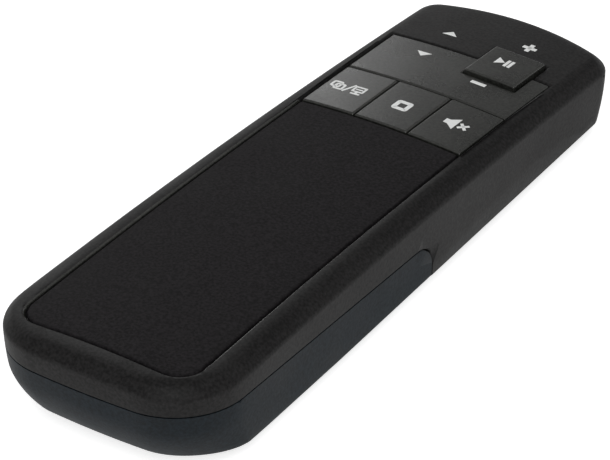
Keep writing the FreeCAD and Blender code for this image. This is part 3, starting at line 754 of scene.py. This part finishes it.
class CLICKER_OT_springs(bpy.types.Operator):
    """Wind the two conical battery springs"""

    bl_idname = "clicker.springs"
    bl_label = "Battery springs"

    def execute(self, context):
        steel = brushed("spring_steel", (0.72, 0.72, 0.73), 0.25, stretch=(1, 1, 6))
        for node, wide_first in (("spring_left", True), ("spring_right", False)):
            low, high = (Vector(corner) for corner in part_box(node))
            middle = (low + high) / 2
            pitch = (high.y - low.y - 2 * WIRE_RADIUS) / COIL_TURNS
            nothing_selected()
            bpy.ops.mesh.primitive_circle_add(
                vertices=10, radius=WIRE_RADIUS,
                location=(COIL_RADIUS, 0, 0), rotation=(math.pi / 2, 0, 0),
            )
            piece = bpy.context.object
            rest(piece)
            finish_modifier(
                piece, "coil", "SCREW", axis="Z", screw_offset=pitch, iterations=COIL_TURNS,
                steps=COIL_STEPS, render_steps=COIL_STEPS, use_merge_vertices=False,
            )
            finish_modifier(
                piece, "cone", "SIMPLE_DEFORM",
                deform_method="TAPER", deform_axis="Z", factor=COIL_TAPER,
            )
            only(piece)
            bpy.ops.object.mode_set(mode="EDIT")
            bpy.ops.mesh.select_all(action="SELECT")
            bpy.ops.mesh.normals_make_consistent(inside=False)
            bpy.ops.object.mode_set(mode="OBJECT")
            piece.name = f"{node}_coil"
            start = low.y + WIRE_RADIUS if wide_first else high.y - WIRE_RADIUS
            piece.location = (middle.x, start, middle.z)
            piece.rotation_euler = (-math.pi / 2 if wide_first else math.pi / 2, 0, 0)
            rest(piece)
            smooth(piece, degrees=60)
            stands_for(piece, node, "housing", steel)
        return {"FINISHED"}


# The battery cells: the nub's height, the edges, and steps and steel as shares of the radius
CELL_NUB = 0.0008
CELL_EDGE = 0.0002
CELL_EDGE_ANGLE = math.radians(50)
CELL_DISH = 0.0002
JACKET_FOLD = 0.2
NUB_STEP = 0.44
DISH_STEP = 0.05
STEEL_REACH = 0.82


class CLICKER_OT_cells(bpy.types.Operator):
    """Turn the two battery cells with their steel ends and plain jackets"""

    bl_idname = "clicker.cells"
    bl_label = "Battery cells"

    def execute(self, context):
        jacket = grained(
            "cell_jacket", (0.16, 0.17, 0.19), (0.2, 0.21, 0.23),
            rough=0.3, grain=700, bump=0.1, metallic=0.35,
        )
        steel = brushed("cell_steel", (0.66, 0.66, 0.67), 0.28, stretch=(1, 1, 1))
        for node, far in (("cell_left", 1), ("cell_right", -1)):
            low, high = (Vector(corner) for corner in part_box(node))
            middle = (low + high) / 2
            radius = (high.x - low.x) / 2
            barrel = high.y - low.y - CELL_NUB
            nothing_selected()
            bpy.ops.mesh.primitive_cylinder_add(vertices=48, radius=radius, depth=barrel)
            piece = bpy.context.object
            pick_faces(piece, lambda normal: normal.z > FACING)
            bpy.ops.mesh.inset(thickness=radius * JACKET_FOLD)
            bpy.ops.mesh.inset(thickness=radius * NUB_STEP)
            bpy.ops.mesh.extrude_region_move(TRANSFORM_OT_translate={"value": (0, 0, CELL_NUB)})
            pick_faces(piece, lambda normal: normal.z < -FACING)
            bpy.ops.mesh.inset(thickness=radius * JACKET_FOLD)
            bpy.ops.mesh.inset(thickness=radius * DISH_STEP, depth=-CELL_DISH)
            bpy.ops.object.mode_set(mode="OBJECT")
            finish_modifier(
                piece, "edge", "BEVEL", width=CELL_EDGE, segments=2,
                limit_method="ANGLE", angle_limit=CELL_EDGE_ANGLE,
            )
            piece.name = f"{node}_turned"
            piece.rotation_euler = (-far * math.pi / 2, 0, 0)
            piece.location = (middle.x, middle.y - far * CELL_NUB / 2, middle.z)
            rest(piece)
            smooth(piece)
            stands_for(piece, node, "housing", jacket)
            piece.data.materials.append(steel)
            for face in piece.data.polygons:
                reach = math.hypot(face.center.x - middle.x, face.center.z - middle.z)
                face.material_index = 1 if reach < radius * STEEL_REACH else 0
        return {"FINISHED"}


class CLICKER_OT_inside(bpy.types.Operator):
    """Give the parts inside their plastics, board green and steels"""

    bl_idname = "clicker.inside"
    bl_label = "Inside finishes"

    def execute(self, context):
        nickel = brushed("nickel_sheet", (0.7, 0.69, 0.66), 0.26, stretch=(1, 5, 1))
        black_screw = brushed("black_screw", (0.12, 0.12, 0.125), 0.38, stretch=(1, 1, 4))
        board = grained(
            "solder_mask", (0.004, 0.045, 0.018), (0.01, 0.085, 0.034),
            rough=0.32, grain=420, bump=0.35,
        )
        for node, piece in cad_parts.items():
            if node in INNER_FINISHES:
                name, colour, rough = INNER_FINISHES[node]
                finish = grained(name, colour, paler(colour, INNER_FLECK), rough, 2200, 0.3)
            elif node.startswith(NICKEL_NODES):
                finish = nickel
            elif node.startswith("screw"):
                finish = black_screw
            elif node == "circuit_board":
                finish = board
            elif not piece.hide_render:
                raise RuntimeError(f"{node} has no finish")
            else:
                continue
            dressed(piece, finish)
        return {"FINISHED"}


# Stage

# The floor's side, its place under the table plane and its glow, the height in the sky where
# the fade ends, and the camera's sensor and nearest distance
FLOOR_SIZE = 8
FLOOR_DROP = 0.0002
FLOOR_GLOW = 0.72
HORIZON_TOP = 0.2
SENSOR_WIDTH_MM = 36
NEAREST_SEEN = 0.01


def lamp(name, place, target, width, height, power):
    """Hang a rectangular lamp that looks at a target."""
    light = bpy.data.lights.new(name, "AREA")
    light.shape = "RECTANGLE"
    light.size, light.size_y = width, height
    light.energy = power
    holder = bpy.data.objects.new(name, light)
    bpy.context.scene.collection.objects.link(holder)
    holder.location = place
    look = Vector(target) - Vector(place)
    holder.rotation_euler = look.to_track_quat("-Z", "Y").to_euler()


def seen_white(tree, *kinds):
    """Add the test for rays that see the white background: the camera's and some more."""
    path = tree.nodes.new("ShaderNodeLightPath")
    seen = path.outputs["Is Camera Ray"]
    for kind in kinds:
        either = tree.nodes.new("ShaderNodeMath")
        either.operation = "MAXIMUM"
        tree.links.new(seen, either.inputs[0])
        tree.links.new(path.outputs[kind], either.inputs[1])
        seen = either.outputs["Value"]
    return seen


def pale_paper():
    """Make the floor's paper, which glows a little for the camera, metal and glass."""
    paper = grained(
        "pale_floor", (0.8, 0.8, 0.8), (0.82, 0.82, 0.82),
        rough=0.9, grain=300, bump=0.05, level=0.2,
    )
    tree = paper.node_tree
    shader = tree.nodes["Principled BSDF"]
    out = tree.nodes["Material Output"]
    glow = tree.nodes.new("ShaderNodeEmission")
    glow.inputs["Color"].default_value = (1, 1, 1, 1)
    added = tree.nodes.new("ShaderNodeAddShader")
    share = tree.nodes.new("ShaderNodeMath")
    share.operation = "MULTIPLY"
    share.inputs[1].default_value = FLOOR_GLOW
    tree.links.new(seen_white(tree, "Is Glossy Ray", "Is Transmission Ray"), share.inputs[0])
    tree.links.new(share.outputs["Value"], glow.inputs["Strength"])
    tree.links.new(shader.outputs["BSDF"], added.inputs[0])
    tree.links.new(glow.outputs["Emission"], added.inputs[1])
    tree.links.new(added.outputs["Shader"], out.inputs["Surface"])
    return paper


def studio_world(strength):
    """Make a world that fades from white at the horizon to the sky's strength overhead.

    The camera and glass see plain white all round. Reflections see the fade.
    """
    world = bpy.data.worlds.new("studio")
    world.use_nodes = True
    tree = world.node_tree
    sky = tree.nodes["Background"]
    sky.inputs["Color"].default_value = (1, 1, 1, 1)
    place = tree.nodes.new("ShaderNodeTexCoord")
    parts = tree.nodes.new("ShaderNodeSeparateXYZ")
    fade = tree.nodes.new("ShaderNodeMapRange")
    fade.inputs["From Min"].default_value = 0.0
    fade.inputs["From Max"].default_value = HORIZON_TOP
    fade.inputs["To Min"].default_value = 1.0
    fade.inputs["To Max"].default_value = strength
    behind = tree.nodes.new("ShaderNodeMath")
    behind.operation = "MAXIMUM"
    tree.links.new(place.outputs["Generated"], parts.inputs[0])
    tree.links.new(parts.outputs["Z"], fade.inputs["Value"])
    tree.links.new(fade.outputs["Result"], behind.inputs[0])
    tree.links.new(seen_white(tree, "Is Transmission Ray"), behind.inputs[1])
    tree.links.new(behind.outputs["Value"], sky.inputs["Strength"])
    return world


def photo_camera(settings):
    """Set up the camera at the photograph's angle."""
    camera = bpy.data.cameras.new("photo_camera")
    camera.lens = settings.lens
    camera.sensor_width = SENSOR_WIDTH_MM
    camera.clip_start = NEAREST_SEEN
    holder = bpy.data.objects.new("photo_camera", camera)
    bpy.context.scene.collection.objects.link(holder)
    holder.location = settings.camera_place
    holder.rotation_euler = settings.camera_turn
    return holder


class CLICKER_OT_stage(bpy.types.Operator):
    """Lay the pale floor and set the world, the lamps and the camera"""

    bl_idname = "clicker.stage"
    bl_label = "Stage"

    def execute(self, context):
        settings = context.scene.clicker_stage
        nothing_selected()
        bpy.ops.mesh.primitive_plane_add(size=FLOOR_SIZE, location=(0, 0, -FLOOR_DROP))
        floor = bpy.context.object
        floor.name = "floor"
        dressed(floor, pale_paper())

        context.scene.world = studio_world(settings.sky)
        lamp(
            "window_lamp", place=(-0.6, 0.5, 0.4), target=(0, 0.02, 0),
            width=0.45, height=0.3, power=settings.window,
        )
        lamp(
            "fill_lamp", place=(0.35, -0.5, 0.6), target=(0, 0, 0),
            width=0.5, height=0.5, power=settings.fill,
        )
        context.scene.camera = photo_camera(settings)
        context.scene.view_settings.view_transform = "Standard"
        return {"FINISHED"}


OPERATORS = (
    CLICKER_OT_housing,
    CLICKER_OT_cover,
    CLICKER_OT_pad,
    CLICKER_OT_keys,
    CLICKER_OT_arrows,
    CLICKER_OT_signs,
    CLICKER_OT_stop_mark,
    CLICKER_OT_mute_mark,
    CLICKER_OT_screen_mark,
    CLICKER_OT_play_mark,
    CLICKER_OT_springs,
    CLICKER_OT_cells,
    CLICKER_OT_inside,
    CLICKER_OT_stage,
)


class CLICKER_PT_panel(bpy.types.Panel):
    """Lists the steps that dress the clicker"""

    bl_label = "Clicker"
    bl_idname = "CLICKER_PT_panel"
    bl_space_type = "VIEW_3D"
    bl_region_type = "UI"
    bl_category = "Clicker"

    def draw(self, context):
        for step in OPERATORS:
            self.layout.operator(step.bl_idname)


GROUPS = {
    "clicker_deck": ClickerDeck,
    "clicker_prints": ClickerPrints,
    "clicker_finishes": ClickerFinishes,
    "clicker_stage": ClickerStage,
}


def register():
    """Register the settings, the steps and the panel."""
    for name, group in GROUPS.items():
        bpy.utils.register_class(group)
        setattr(bpy.types.Scene, name, PointerProperty(type=group))
    for step in (*OPERATORS, CLICKER_PT_panel):
        bpy.utils.register_class(step)


def unregister():
    """Take the panel, the steps and the settings away again."""
    for step in (CLICKER_PT_panel, *reversed(OPERATORS)):
        bpy.utils.unregister_class(step)
    for name, group in GROUPS.items():
        delattr(bpy.types.Scene, name)
        bpy.utils.unregister_class(group)


def main():
    """Dress the whole clicker."""
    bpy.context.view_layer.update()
    register()
    for step in OPERATORS:
        group, name = step.bl_idname.split(".")
        getattr(getattr(bpy.ops, group), name)()


if __name__ == "__main__":
    main()
